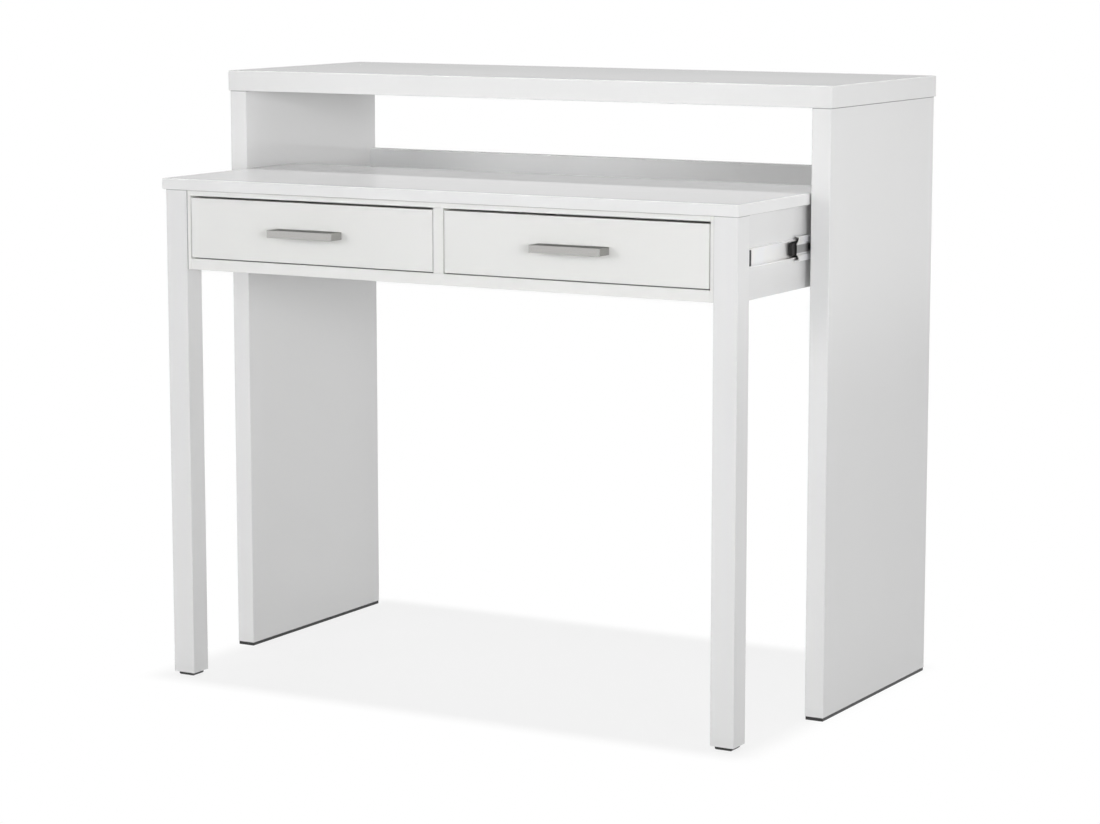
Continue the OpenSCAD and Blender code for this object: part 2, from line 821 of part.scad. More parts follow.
module carcass_side_right() {
    color(white_lacquer) difference() {
        board([carcass_inner_x, leg_rear_y, carcass_bottom_z],
            [carcass_outer_x, carcass_rear_y, desktop_bottom_z], fine_radius);
        desk_joints(hole_clearance);
        inner_screw_shapes(hole_clearance);
        rod_x([carcass_outer_x - 2, lever_pin_y, slide_z], lever_pin_r + hole_clearance, 3);
    }
}

module carcass_side_left() {
    on_left() carcass_side_right();
}

// Packs the drawer opening out to the leg and the carcass side, and shows as a stile beside the leg
module carcass_liner_right() {
    color(white_lacquer) difference() {
        board([opening_x1, carcass_front_y, carcass_bottom_z],
            [carcass_inner_x, carcass_rear_y, desktop_bottom_z], fine_radius);
        block([leg_inner_x, carcass_front_y - 1, carcass_bottom_z - 1],
            [carcass_inner_x + 1, leg_rear_y, desktop_bottom_z + 1]);
    }
}

module carcass_liner_left() {
    on_left() carcass_liner_right();
}

module carcass_bottom() {
    color(white_lacquer)
        board([-opening_x1, carcass_front_y, carcass_bottom_z], [opening_x1, carcass_rear_y, opening_z0],
            fine_radius);
}

module carcass_back() {
    color(white_lacquer) block([-opening_x1, back_front_y, opening_z0],
        [opening_x1, carcass_rear_y, desktop_bottom_z]);
}

module carcass_divider() {
    color(white_lacquer) difference() {
        block([-opening_x0, carcass_front_y, opening_z0], [opening_x0, back_front_y, desktop_bottom_z]);
        block([-opening_x0 - 1, carcass_front_y - 1, opening_z1],
            [opening_x0 + 1, carcass_front_y + top_rail_depth, desktop_bottom_z + 1]);
    }
}

module carcass_top_rail() {
    color(white_lacquer)
        board([-opening_x1, carcass_front_y, opening_z1],
            [opening_x1, carcass_front_y + top_rail_depth, desktop_bottom_z], fine_radius);
}

module desk_dowels() {
    color(birch) desk_joints();
}

// Drawers, drawn on the right-hand side

// Moulded strips that carry the two grooved sides of a drawer
module drawer_runners_right() {
    reach = drawer_side_gap + runner_reach;
    y0 = front_rear_y + runner_end_gap;
    y1 = side_rear_y - runner_end_gap;
    color(drawer_white) {
        block([opening_x1 - reach, y0, runner_z - runner_height / 2],
            [opening_x1, y1, runner_z + runner_height / 2]);
        block([opening_x0, y0, runner_z - runner_height / 2],
            [opening_x0 + reach, y1, runner_z + runner_height / 2]);
    }
}

module drawer_runners_left() {
    on_left() drawer_runners_right();
}

module runner_grooves() {
    reach = drawer_side_gap + runner_reach + runner_clearance;
    half = runner_height / 2 + runner_clearance;
    for (x0 = [opening_x0 - 1, opening_x1 - reach])
        block([x0, front_rear_y - 1, runner_z - half], [x0 + reach + 1, side_rear_y + 1, runner_z + half]);
}

// Space of the drawer bottom, let into the sides and the front
module bottom_panel_space(gain = 0) {
    block([
        side_outer_x0 + drawer_side_thickness - bottom_groove_depth - gain,
        front_rear_y - bottom_groove_depth - gain,
        drawer_floor_z - gain
    ], [
        side_outer_x1 - drawer_side_thickness + bottom_groove_depth + gain,
        side_rear_y + gain,
        drawer_floor_z + drawer_bottom_thickness + gain
    ]);
}

module drawer_front_right() {
    color(drawer_white) difference() {
        board([opening_x0 + side_reveal, carcass_front_y, front_z0],
            [opening_x1 - side_reveal, front_rear_y, front_z1], fine_radius);
        bottom_panel_space(hole_clearance);
        for (side = [-1, 1])
            rod_y([drawer_mid_x + side * handle_pitch / 2, carcass_front_y - 1, handle_z],
                handle_screw_r + hole_clearance, front_thickness + 2);
    }
}

module drawer_front_left() {
    on_left() drawer_front_right();
}

module drawer_side_board(x0) {
    color(drawer_white) difference() {
        block([x0, front_rear_y, side_z0], [x0 + drawer_side_thickness, side_rear_y, side_z1]);
        runner_grooves();
        bottom_panel_space(hole_clearance);
    }
}

module drawer_outer_side_right() {
    drawer_side_board(side_outer_x1 - drawer_side_thickness);
}

module drawer_outer_side_left() {
    on_left() drawer_outer_side_right();
}

module drawer_inner_side_right() {
    drawer_side_board(side_outer_x0);
}

module drawer_inner_side_left() {
    on_left() drawer_inner_side_right();
}

module drawer_back_right() {
    color(drawer_white) block([
        side_outer_x0 + drawer_side_thickness, side_rear_y - drawer_side_thickness,
        drawer_floor_z + drawer_bottom_thickness
    ], [side_outer_x1 - drawer_side_thickness, side_rear_y, side_z1]);
}

module drawer_back_left() {
    on_left() drawer_back_right();
}

module drawer_bottom_right() {
    color(drawer_white) bottom_panel_space();
}

module drawer_bottom_left() {
    on_left() drawer_bottom_right();
}

// Cast pull: a shallow hood with a boss for each screw, open underneath for the fingers
module handle_right() {
    front_y = carcass_front_y - handle_projection;
    boss_front_y = front_y + handle_wall / 2;
    z0 = handle_z - handle_height / 2;
    z1 = handle_z + handle_height / 2;
    x0 = drawer_mid_x - handle_length / 2;
    x1 = drawer_mid_x + handle_length / 2;
    color(nickel) difference() {
        union() {
            difference() {
                board([x0, front_y, z0], [x1, carcass_front_y, z1], handle_radius);
                block([x0 + handle_wall, front_y + handle_wall, z0 - 1],
                    [x1 - handle_wall, carcass_front_y + 1, z1 - handle_wall]);
            }
            for (side = [-1, 1])
                rod_y([drawer_mid_x + side * handle_pitch / 2, boss_front_y, handle_z],
                    handle_boss_r, carcass_front_y - boss_front_y);
        }
        for (side = [-1, 1])
            rod_y([drawer_mid_x + side * handle_pitch / 2, carcass_front_y - handle_hole_depth, handle_z],
                handle_screw_r + thread_clearance, handle_hole_depth + 1);
    }
}

module handle_left() {
    on_left() handle_right();
}

module handle_screws_right() {
    color(steel)
        for (side = [-1, 1])
            translate([drawer_mid_x + side * handle_pitch / 2, 0, handle_z]) {
                rod_y([0, carcass_front_y - handle_screw_grip, 0], handle_screw_r,
                    front_thickness + handle_screw_grip);
                rod_y([0, front_rear_y, 0], 2 * handle_screw_r, handle_screw_r);
            }
}

module handle_screws_left() {
    on_left() handle_screws_right();
}

console_top();
console_side_left();
console_side_right();
console_back_rail();
base_strip_left();
base_strip_right();
console_dowels();
slide_outer_left();
slide_outer_right();
slide_outer_screws();
outer_ball_cages();
outer_balls();
slide_middle_left();
slide_middle_right();
inner_ball_cages();
inner_balls();
slide_inner_left();
slide_inner_right();
slide_inner_screws();
slide_bumper_left();
slide_bumper_right();
lever_pins();
release_lever_left();
release_lever_right();
desktop();
desk_leg_left();
desk_leg_right();
leg_glide_left();
leg_glide_right();
carcass_side_left();
carcass_side_right();
carcass_liner_left();
carcass_liner_right();
carcass_bottom();
carcass_back();
carcass_divider();
carcass_top_rail();
desk_dowels();
drawer_runners_left();
drawer_runners_right();
drawer_front_left();
drawer_outer_side_left();
drawer_inner_side_left();
drawer_back_left();
drawer_bottom_left();
handle_left();
handle_screws_left();
drawer_front_right();
drawer_outer_side_right();
drawer_inner_side_right();
drawer_back_right();
drawer_bottom_right();
handle_right();
handle_screws_right();
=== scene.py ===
# White console with a pull-out desk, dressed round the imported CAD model.
# The file follows the piece as it is put together: studio, console, slides, desk, drawers, pulls.
import math

import bmesh
import bpy
from mathutils import Matrix, Vector


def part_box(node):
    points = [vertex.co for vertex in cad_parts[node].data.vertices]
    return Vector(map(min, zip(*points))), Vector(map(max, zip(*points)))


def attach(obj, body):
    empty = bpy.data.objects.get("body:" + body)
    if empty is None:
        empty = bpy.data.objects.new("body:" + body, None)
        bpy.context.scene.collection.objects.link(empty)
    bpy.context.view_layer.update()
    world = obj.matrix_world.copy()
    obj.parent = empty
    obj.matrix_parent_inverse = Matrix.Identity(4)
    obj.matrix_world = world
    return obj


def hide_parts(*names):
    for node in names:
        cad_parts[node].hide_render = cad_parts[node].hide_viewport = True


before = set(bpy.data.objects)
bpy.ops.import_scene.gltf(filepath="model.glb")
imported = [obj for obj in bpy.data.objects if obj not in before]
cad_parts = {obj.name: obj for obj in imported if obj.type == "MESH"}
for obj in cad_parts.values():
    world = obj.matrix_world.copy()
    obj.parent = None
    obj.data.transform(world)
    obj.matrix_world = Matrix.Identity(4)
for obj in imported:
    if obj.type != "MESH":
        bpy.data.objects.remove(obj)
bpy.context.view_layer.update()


# Camera
# It stands to the right of the front and a little above the console's top, at the photograph's
# angle. The lens is long, so that the legs and panels stay nearly upright.
image_width = 1100
focal_pixels = 3157.8
sensor_width = 36.0
camera_dip = math.radians(8.666)
camera_turn = math.radians(29.535)
camera_place = (2.2573, -3.9436, 1.0808)
farthest_seen = 300.0

camera_data = bpy.data.cameras.new("camera")
camera_data.sensor_width = sensor_width
camera_data.lens = focal_pixels * sensor_width / image_width
camera_data.clip_end = farthest_seen
camera = bpy.data.objects.new("camera", camera_data)
camera.location = camera_place
camera.rotation_euler = (math.pi / 2 - camera_dip, 0, camera_turn)
bpy.context.scene.collection.objects.link(camera)
bpy.context.scene.camera = camera
bpy.context.scene.view_settings.view_transform = "Standard"


# Room
# A pale studio without a visible corner: it lights the piece evenly from all round and shows
# white. The glossy boards mirror it with a light grey haze just above the horizon.
class Tap:
    """A node's output that can be reckoned with: an operator adds the Math node it stands for."""

    def __init__(self, tree, socket=None):
        self.tree = tree
        self.socket = socket

    def node(self, kind, settings, sockets, output=0):
        """Adds a node, sets it, fills or links its sockets, and gives one of its outputs."""
        made = self.tree.nodes.new("ShaderNode" + kind)
        for name, value in settings.items():
            if name == "stops":
                lay_stops(made.color_ramp, value)
            else:
                setattr(made, name, value)
        for name, value in sockets.items():
            if isinstance(value, Tap):
                self.tree.links.new(value.socket, made.inputs[name])
            else:
                made.inputs[name].default_value = value
        return Tap(self.tree, made.outputs[output] if made.outputs else None)

    def math(self, operation, first, second):
        return self.node("Math", {"operation": operation}, {0: first, 1: second})

    def __add__(self, other):
        return self.math("ADD", self, other)

    def __radd__(self, other):
        return self.math("ADD", other, self)

    def __sub__(self, other):
        return self.math("SUBTRACT", self, other)

    def __rsub__(self, other):
        return self.math("SUBTRACT", other, self)

    def __mul__(self, other):
        return self.math("MULTIPLY", self, other)

    def __rmul__(self, other):
        return self.math("MULTIPLY", other, self)

    def rise(self, low, high):
        """Goes smoothly from 0 at low to 1 at high."""
        limits = {"Value": self, "From Min": low, "From Max": high}
        return self.node("MapRange", {"interpolation_type": "SMOOTHSTEP"}, limits)

    def tint(self, first, second):
        """The first colour where the value is 0, the second where it is 1."""
        colours = {0: self, 6: first, 7: second}
        return self.node("Mix", {"data_type": "RGBA"}, colours, 2)


def grey(level):
    return (level, level, level, 1.0)


def lay_stops(ramp, stops):
    while len(ramp.elements) < len(stops):
        ramp.elements.new(1.0)
    for element, (place, level) in zip(ramp.elements, stops):
        element.position = place
        element.color = grey(level)


def shown_rays(start):
    """1 for a ray that shows the background: straight, mirrored in a surface, or through glass."""
    straight = start.node("LightPath", {}, {}, "Is Camera Ray")
    mirrored = start.node("LightPath", {}, {}, "Is Glossy Ray")
    through = start.node("LightPath", {}, {}, "Is Transmission Ray")
    return straight.math("MAXIMUM", straight, mirrored.math("MAXIMUM", mirrored, through))


def light_room():
    """The room gives its light from the sides, fading to none overhead.

    The haze is the grey that gloss mirrors. Its places run from 0 straight down, over 0.5 at the
    horizon, to 1 straight up.
    """
    side_light = 0.97
    haze = [
        (0.0, 1.0), (0.498, 1.0), (0.503, 0.52), (0.527, 0.52), (0.54, 0.68), (0.56, 0.9), (1.0, 0.95),
    ]
    world = bpy.data.worlds.new("room")
    world.use_nodes = True
    world.node_tree.nodes.clear()
    start = Tap(world.node_tree)
    direction = start.node("TexCoord", {}, {}, "Generated")
    height = start.node("SeparateXYZ", {}, {0: direction}, "Z")
    mirrored = start.node("ValToRGB", {"stops": haze}, {0: height * 0.5 + 0.5})
    straight = start.node("LightPath", {}, {}, "Is Camera Ray")
    shown = straight.tint(mirrored, grey(1.0))
    strength = side_light * (1.0 - height)
    lamp = start.node("Background", {}, {"Strength": strength, "Color": grey(1.0)})
    backdrop = start.node("Background", {}, {"Strength": 1.0, "Color": shown})
    room = start.node("MixShader", {}, {0: shown_rays(start), 1: lamp, 2: backdrop})
    start.node("OutputWorld", {}, {"Surface": room})
    bpy.context.scene.world = world


light_room()


# Lamps
# Soft boxes stand to the left, low in front, to the right and behind. A narrow one on the right
# lights the upper part of the sides, and one hangs over the desktop, behind the slab's front. They
# light the boards without showing in their gloss.
def hang_lamp(name, place, aim, size, power, spread):
    """A soft box turned to aim: places and size in metres, power in watts, spread in degrees."""
    data = bpy.data.lights.new(name, "AREA")
    data.shape = "RECTANGLE"
    data.size, data.size_y = size
    data.energy = power
    data.spread = math.radians(spread)
    lamp = bpy.data.objects.new(name, data)
    lamp.location = place
    lamp.rotation_euler = (Vector(place) - Vector(aim)).to_track_quat("Z", "Y").to_euler()
    lamp.visible_camera = False
    lamp.visible_glossy = False
    bpy.context.scene.collection.objects.link(lamp)


hang_lamp("left_box", (-4.5, -8.0, 2.6), (0.0, 0.0, 0.5), (3.0, 3.0), 190, 180)
hang_lamp("low_box", (1.2, -4.2, 0.5), (0.0, 0.0, 0.3), (2.4, 0.6), 13, 180)
hang_lamp("right_box", (3.4, -3.0, 1.1), (0.0, 0.0, 0.8), (2.0, 1.0), 5.8, 40)
hang_lamp("back_box", (-3.0, 5.0, 0.7), (0.0, 0.0, 0.45), (2.4, 1.0), 140, 180)
hang_lamp("side_strip", (2.5, 0.0, 0.82), (0.0, 0.0, 0.82), (1.4, 0.56), 0.29, 8)
hang_lamp("desk_light", (-0.05, 0.02, 2.6), (-0.05, 0.02, 0.7), (1.8, 0.16), 4.4, 60)


# Floor
# Plain white paint. It shows as the background's white, and over the footprint between the legs and
# the panels it has a soft patch of painted shadow, through which the lit floor and the real shadow
# show in part. From below it is open, so that the underside can be looked at.
def inside(value, low, high, blur):
    """1 between two limits, falling to 0 over a width of blur at each."""
    return value.rise(low - blur, low) * (1.0 - value.rise(high, high + blur))


def paint_floor():
    painted_patch_blur = 0.06
    painted_patch_white = 0.82
    floor_grey = 0.7
    leg_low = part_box("leg_glide_left")[0]
    panel_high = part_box("base_strip_right")[1]
    paint = bpy.data.materials.new("floor_paint")
    paint.use_nodes = True
    paint.node_tree.nodes.clear()
    start = Tap(paint.node_tree)
    place = start.node("TexCoord", {}, {}, "Object")
    across = start.node("SeparateXYZ", {}, {0: place}, "X")
    along = start.node("SeparateXYZ", {}, {0: place}, "Y")
    # Painted shadow: a fixed soft patch over the footprint, where less white and more lit floor shows.
    painted_patch = inside(across, leg_low.x, -leg_low.x, painted_patch_blur)
    painted_patch = painted_patch * inside(along, leg_low.y, panel_high.y, painted_patch_blur)
    white_share = shown_rays(start) * (1.0 - (1.0 - painted_patch_white) * painted_patch)
    lit = start.node("BsdfDiffuse", {}, {"Color": grey(floor_grey)})
    white = start.node("Emission", {}, {"Strength": 1.0, "Color": grey(1.0)})
    painted = start.node("MixShader", {}, {0: white_share, 1: lit, 2: white})
    from_below = start.node("NewGeometry", {}, {}, "Backfacing")
    open_side = start.node("BsdfTransparent", {}, {})
    surface = start.node("MixShader", {}, {0: from_below, 1: painted, 2: open_side})
    start.node("OutputMaterial", {}, {"Surface": surface})
    return paint


def lay_floor():
    """It lies a hair below the base strips, so that the two faces stay apart."""
    reach = 120.0
    level = -0.0003
    mesh = bpy.data.meshes.new("floor")
    square = ((-reach, -reach), (reach, -reach), (reach, reach), (-reach, reach))
    mesh.from_pydata([(x, y, level) for x, y in square], [], [(0, 1, 2, 3)])
    mesh.materials.append(paint_floor())
    floor = bpy.data.objects.new("floor", mesh)
    bpy.context.scene.collection.objects.link(floor)


lay_floor()


# Console
# Slab, two side panels and back rail are fibreboard, sprayed and polished to a high white gloss.
# The film is a little wavy, and its shine varies slightly where it was buffed.
def start_finish(name):
    finish = bpy.data.materials.new(name)
    finish.use_nodes = True
    finish.node_tree.nodes.clear()
    return finish, Tap(finish.node_tree)


def noise(start, place, scale, detail=2.0, distortion=0.0):
    sockets = {"Vector": place, "Scale": scale, "Detail": detail, "Distortion": distortion}
    return start.node("TexNoise", {}, sockets, "Fac")


def stretched(start, place, scales):
    return start.node("VectorMath", {"operation": "MULTIPLY"}, {0: place, 1: scales})


def relief(start, height, depth):
    """Normal of a surface whose height is in units of depth metres."""
    return start.node("Bump", {}, {"Height": height, "Distance": depth, "Strength": 1.0}, "Normal")


def joint_shadow_lines(start, place, shadowed_joints):
    """1 on the painted dark hairline where a board butts against the next, at a distance along an
    axis: the joint and the shadow that falls into it.
    """
    half_width = 0.0006
    lines = 0.0
    for axis, distance in shadowed_joints:
        along = start.node("SeparateXYZ", {}, {0: place}, axis)
        away = along.math("ABSOLUTE", along, 0.0) - distance
        away = away.math("ABSOLUTE", away, 0.0)
        lines = away.math("MAXIMUM", lines, 1.0 - away.rise(half_width, 2 * half_width))
    return lines


def gloss_lacquer(name, colour, shade, shine, shadowed_joints=()):
    """White gloss: colour in the open, shade where the film lies thinner, shine as least roughness."""
    clouds_a_metre = 2.4
    strokes_a_metre = (3.0, 14.0, 9.0)
    stroke_roughness = 0.05
    waves_a_metre = 48.0
    wave_depth = 0.00002
    peel_a_metre = 900.0
    peel_depth = 0.000002
    joint_shadow_level = 0.22
    finish, start = start_finish(name)
    place = start.node("TexCoord", {}, {}, "Object")
    cloud = noise(start, place, clouds_a_metre, detail=3.0)
    buffing = noise(start, stretched(start, place, strokes_a_metre), 1.0, distortion=0.6)
    waves = relief(start, noise(start, place, waves_a_metre, detail=1.0), wave_depth)
    peel = start.node("Bump", {}, {
        "Height": noise(start, place, peel_a_metre),
        "Distance": peel_depth,
        "Normal": waves,
    }, "Normal")
    film = cloud.rise(0.3, 0.7).tint(shade, colour)
    # Painted shadow: a dark hairline along each of the given joints.
    if shadowed_joints:
        film = joint_shadow_lines(start, place, shadowed_joints).tint(film, grey(joint_shadow_level))
    surface = start.node("BsdfPrincipled", {}, {
        "Base Color": film,
        "Roughness": shine + stroke_roughness * buffing,
        "Normal": peel,
        "IOR": 1.5,
    })
    start.node("OutputMaterial", {}, {"Surface": surface})
    return finish


def dress(finish, *nodes):
    for node in nodes:
        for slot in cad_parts[node].material_slots:
            slot.material = finish


panel_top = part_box("console_side_right")[1].z
console_white = grey(0.765)
console_shade = grey(0.75)
console_shine = 0.06
console_gloss = gloss_lacquer("console_gloss", console_white, console_shade, console_shine)
# The panels carry a painted shadow hairline along their top, where they butt under the slab.
panel_gloss = gloss_lacquer(
    "panel_gloss", console_white, console_shade, console_shine, [("Z", panel_top)],
)
dress(console_gloss, "console_top", "console_back_rail")
dress(panel_gloss, "console_side_left", "console_side_right")


# Base strips
# Black plastic strips, pressed on under each side panel, so that the board keeps off a damp floor.
# They have the fine grain of a spark-eroded mould. Their near-black is also painted shade: it stands
# in for the dark shadow in the gap under the panels.
def black_plastic(name, level, shine, grain):
    """Moulded plastic with a fine grain, grain metres across; level is its grey."""
    smudges_a_metre = 30.0
    grain_roughness = 0.12
    grain_depth = grain * 0.06
    finish, start = start_finish(name)
    place = start.node("TexCoord", {}, {}, "Object")
    speckle = noise(start, place, 1.0 / grain, detail=3.0)
    handled = noise(start, place, smudges_a_metre)
    surface = start.node("BsdfPrincipled", {}, {
        "Base Color": handled.tint(grey(level * 0.8), grey(level * 1.3)),
        "Roughness": shine + grain_roughness * speckle,
        "Normal": relief(start, speckle, grain_depth),
        "IOR": 1.48,
    })
    start.node("OutputMaterial", {}, {"Surface": surface})
    return finish


# Near-black, and partly painted shadow under the panels.
shadow_strip_plastic = black_plastic("shadow_strip_plastic", level=0.022, shine=0.38, grain=0.0009)
dress(shadow_strip_plastic, "base_strip_left", "base_strip_right")


# Console dowels
# Beech pins, turned with flutes that let the glue spread, and chamfered at both ends. They are
# glued into slab, panels and back rail, and lie wholly inside the boards.
def ring(build, height, radii):
    """A level ring of points at these distances from the upright axis."""
    points = []
    for step, radius in enumerate(radii):
        angle = 2 * math.pi * step / len(radii)
        points.append(build.verts.new((radius * math.cos(angle), radius * math.sin(angle), height)))
    return points


def skin(build, rings):
    """Faces from ring to ring, from the top one down, and over both ends."""
    for upper, lower in zip(rings, rings[1:]):
        for step in range(len(upper)):
            after = (step + 1) % len(upper)
            build.faces.new((upper[step], lower[step], lower[after], upper[after]))
    build.faces.new(rings[0])
    build.faces.new(reversed(rings[-1]))


def take_mesh(build, name):
    mesh = bpy.data.meshes.new(name)
    build.to_mesh(mesh)
    build.free()
    return mesh


def standing(point, direction):
    """Where an upright part goes that stands at a point with its top towards direction."""
    turn = Vector(direction).to_track_quat("Z", "Y").to_matrix().to_4x4()
    return Matrix.Translation(point) @ turn


def place_parts(name, part, places, finish):
    """Copies of one part, each at its place, as one piece."""
    sharpest_smooth_edge = math.radians(35)
    build = bmesh.new()
    for place in places:
        first = len(build.verts)
        build.from_mesh(part)
        build.verts.ensure_lookup_table()
        bmesh.ops.transform(build, matrix=place, verts=build.verts[first:])
    mesh = take_mesh(build, name)
    mesh.materials.append(finish)
    mesh.shade_smooth()
    mesh.set_sharp_from_angle(angle=sharpest_smooth_edge)
    piece = bpy.data.objects.new(name, mesh)
    bpy.context.scene.collection.objects.link(piece)
    return piece


dowel_radius = 0.004
dowel_length = 0.030


def fluted_dowel():
    flutes = 16
    groove = 0.0003
    chamfer = 0.0012
    half = dowel_length / 2
    ends = [dowel_radius - chamfer / 2] * (2 * flutes)
    round_body = [dowel_radius, dowel_radius - groove] * flutes
    build = bmesh.new()
    skin(build, [
        ring(build, half, ends),
        ring(build, half - chamfer, round_body),
        ring(build, chamfer - half, round_body),
        ring(build, -half, ends),
    ])
    return take_mesh(build, "dowel")


def beech(name):
    late_wood = (0.62, 0.42, 0.24, 1.0)
    early_wood = (0.78, 0.60, 0.40, 1.0)
    rings_a_metre = (900.0, 900.0, 60.0)
    ring_depth = 0.00005
    flecks_a_metre = 2500.0
    finish, start = start_finish(name)
    place = start.node("TexCoord", {}, {}, "Object")
    growth = noise(start, stretched(start, place, rings_a_metre), 1.0, detail=4.0)
    flecks = noise(start, place, flecks_a_metre)
    surface = start.node("BsdfPrincipled", {}, {
        "Base Color": growth.tint(late_wood, early_wood),
        "Roughness": 0.5 + 0.2 * flecks,
        "Normal": relief(start, growth, ring_depth),
    })
    start.node("OutputMaterial", {}, {"Surface": surface})
    return finish


def from_ends(low, high, inset):
    """Three places in a row: one at an inset from each end, and one in the middle."""
    return (low + inset, (low + high) / 2, high - inset)


dowel = fluted_dowel()
dowel_beech = beech("dowel_beech")
end_inset = 0.050
panel_low, panel_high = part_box("console_side_right")
rail_low, rail_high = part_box("console_back_rail")
rail_inset = 0.035
console_places = []
for side in (-1, 1):
    across = side * (panel_low.x + panel_high.x) / 2
    for along in from_ends(panel_low.y, panel_high.y, end_inset):
        console_places.append(standing((across, along, panel_high.z), (0, 0, 1)))
    for height in (rail_low.z + rail_inset, rail_high.z - rail_inset):
        spot = (side * rail_high.x, (rail_low.y + rail_high.y) / 2, height)
        console_places.append(standing(spot, (1, 0, 0)))
console_pins = place_parts("console_pins", dowel, console_places, dowel_beech)
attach(console_pins, "console")
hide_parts("console_dowels")


# Slide members
# Rolled from zinc-plated sheet steel: fine lines run along each member from the rolls, and the
# plating is bright, with a faint blue and straw cast.
def rolled_zinc(name, shine, along, channel=None):
    """Bright zinc, its rolling lines along the axis with a small scale in along.

    channel is the height and half width of the middle members' recess, which is darkened there as
    painted shade.
    """
    bluish = (0.94, 0.945, 0.96, 1.0)
    straw = (0.955, 0.95, 0.935, 1.0)
    casts_a_metre = 22.0
    line_roughness = 0.03
    line_depth = 0.0000004
    channel_shade_level = 0.42
    channel_shade_edge = 0.001
    finish, start = start_finish(name)
    place = start.node("TexCoord", {}, {}, "Object")
    lines = noise(start, stretched(start, place, along), 1.0, detail=3.0)
    cast = noise(start, place, casts_a_metre)
    plating = cast.rise(0.35, 0.65).tint(bluish, straw)
    # Painted shade: the recessed channel of the middle members is darkened in the colour.
    if channel:
        height, half_width = channel
        away = start.node("SeparateXYZ", {}, {0: place}, "Z") - height
        away = away.math("ABSOLUTE", away, 0.0)
        unshaded = away.rise(half_width - channel_shade_edge, half_width + channel_shade_edge)
        plating = unshaded.tint(grey(channel_shade_level), plating)
    surface = start.node("BsdfPrincipled", {}, {
        "Base Color": plating,
        "Roughness": shine + line_roughness * lines,
        "Normal": relief(start, lines, line_depth),
        "Metallic": 1.0,
    })
    start.node("OutputMaterial", {}, {"Surface": surface})
    return finish


along_slide = (700.0, 9.0, 700.0)
sheet_shine = 0.36
slide_zinc = rolled_zinc("slide_zinc", sheet_shine, along_slide)
middle_low, middle_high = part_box("slide_middle_right")
channel_half_width = 0.0055
channel = ((middle_low.z + middle_high.z) / 2, channel_half_width)
channel_shaded_zinc = rolled_zinc("channel_shaded_zinc", sheet_shine, along_slide, channel)
dress(slide_zinc, "slide_outer_left", "slide_outer_right", "slide_inner_left", "slide_inner_right")
dress(slide_zinc, "outer_ball_cages", "lever_pins")
dress(channel_shaded_zinc, "slide_middle_left", "slide_middle_right")


# Slide screws
# Zinc-plated steel with a cross recess. Countersunk chipboard screws hold the outer members to the
# panels, and screws with a flat round head hold the inner members to the carcass.
def thread_radii(core, ridge, turns, sides):
    """Distances from the axis round one level of a thread that has wound on by so many turns.

    The ridge takes up half of each turn, and the other half is bare core.
    """
    radii = []
    for step in range(sides):
        phase = (turns + step / sides) % 1.0
        radii.append(core + ridge * max(0.0, 1.0 - 4.0 * abs(phase - 0.5)))
    return radii


def recess_blade(reach, depth, turn):
    """One arm to arm wedge of the cross that the driver presses into."""
    wide_end = (reach, 2.5 * reach, 0.4 * reach)
    narrow_end = (-depth, 0.4 * reach, 0.04 * reach)
    build = bmesh.new()
    for height, half_length, half_width in (wide_end, narrow_end):
        for x in (-half_length, half_length):
            for y in (-half_width, half_width):
                build.verts.new((x, y, height))
    bmesh.ops.convex_hull(build, input=build.verts)
    bmesh.ops.rotate(build, matrix=Matrix.Rotation(turn, 3, "Z"), verts=build.verts)
    return take_mesh(build, "blade")


def carve(mesh, cutters):
    """The mesh with the cutters taken out of it."""
    collection = bpy.context.scene.collection
    block = bpy.data.objects.new("block", mesh)
    tools = [bpy.data.objects.new("tool", cutter) for cutter in cutters]
    for item in [block, *tools]:
        collection.objects.link(item)
    for tool in tools:
        cut = block.modifiers.new("cut", "BOOLEAN")
        cut.operation = "DIFFERENCE"
        cut.solver = "EXACT"
        cut.object = tool
    depsgraph = bpy.context.evaluated_depsgraph_get()
    carved = bpy.data.meshes.new_from_object(block.evaluated_get(depsgraph))
    for item in [block, *tools]:
        bpy.data.objects.remove(item)
    return carved


def screw(head, core, ridge, pitch, length, point):
    """An upright screw with its head's top at height 0; head is its outline, as radius and depth."""
    sides = 20
    levels_a_turn = 6
    blunt_share = 0.15
    recess_share = 0.55
    build = bmesh.new()
    rings = [ring(build, -depth, [radius] * sides) for radius, depth in head]
    neck = head[-1][1]
    levels = round((length - neck) / pitch * levels_a_turn)
    for level in range(1, levels + 1):
        depth = neck + (length - neck) * level / levels
        taper = min(1.0, (length - depth) / point + blunt_share)
        radii = thread_radii(core, ridge, level / levels_a_turn, sides)
        rings.append(ring(build, -depth, [radius * taper for radius in radii]))
    skin(build, rings)
    reach = head[0][0] * recess_share
    blades = [recess_blade(reach, head[-1][1], turn) for turn in (0, math.pi / 2)]
    return carve(take_mesh(build, "screw"), blades)


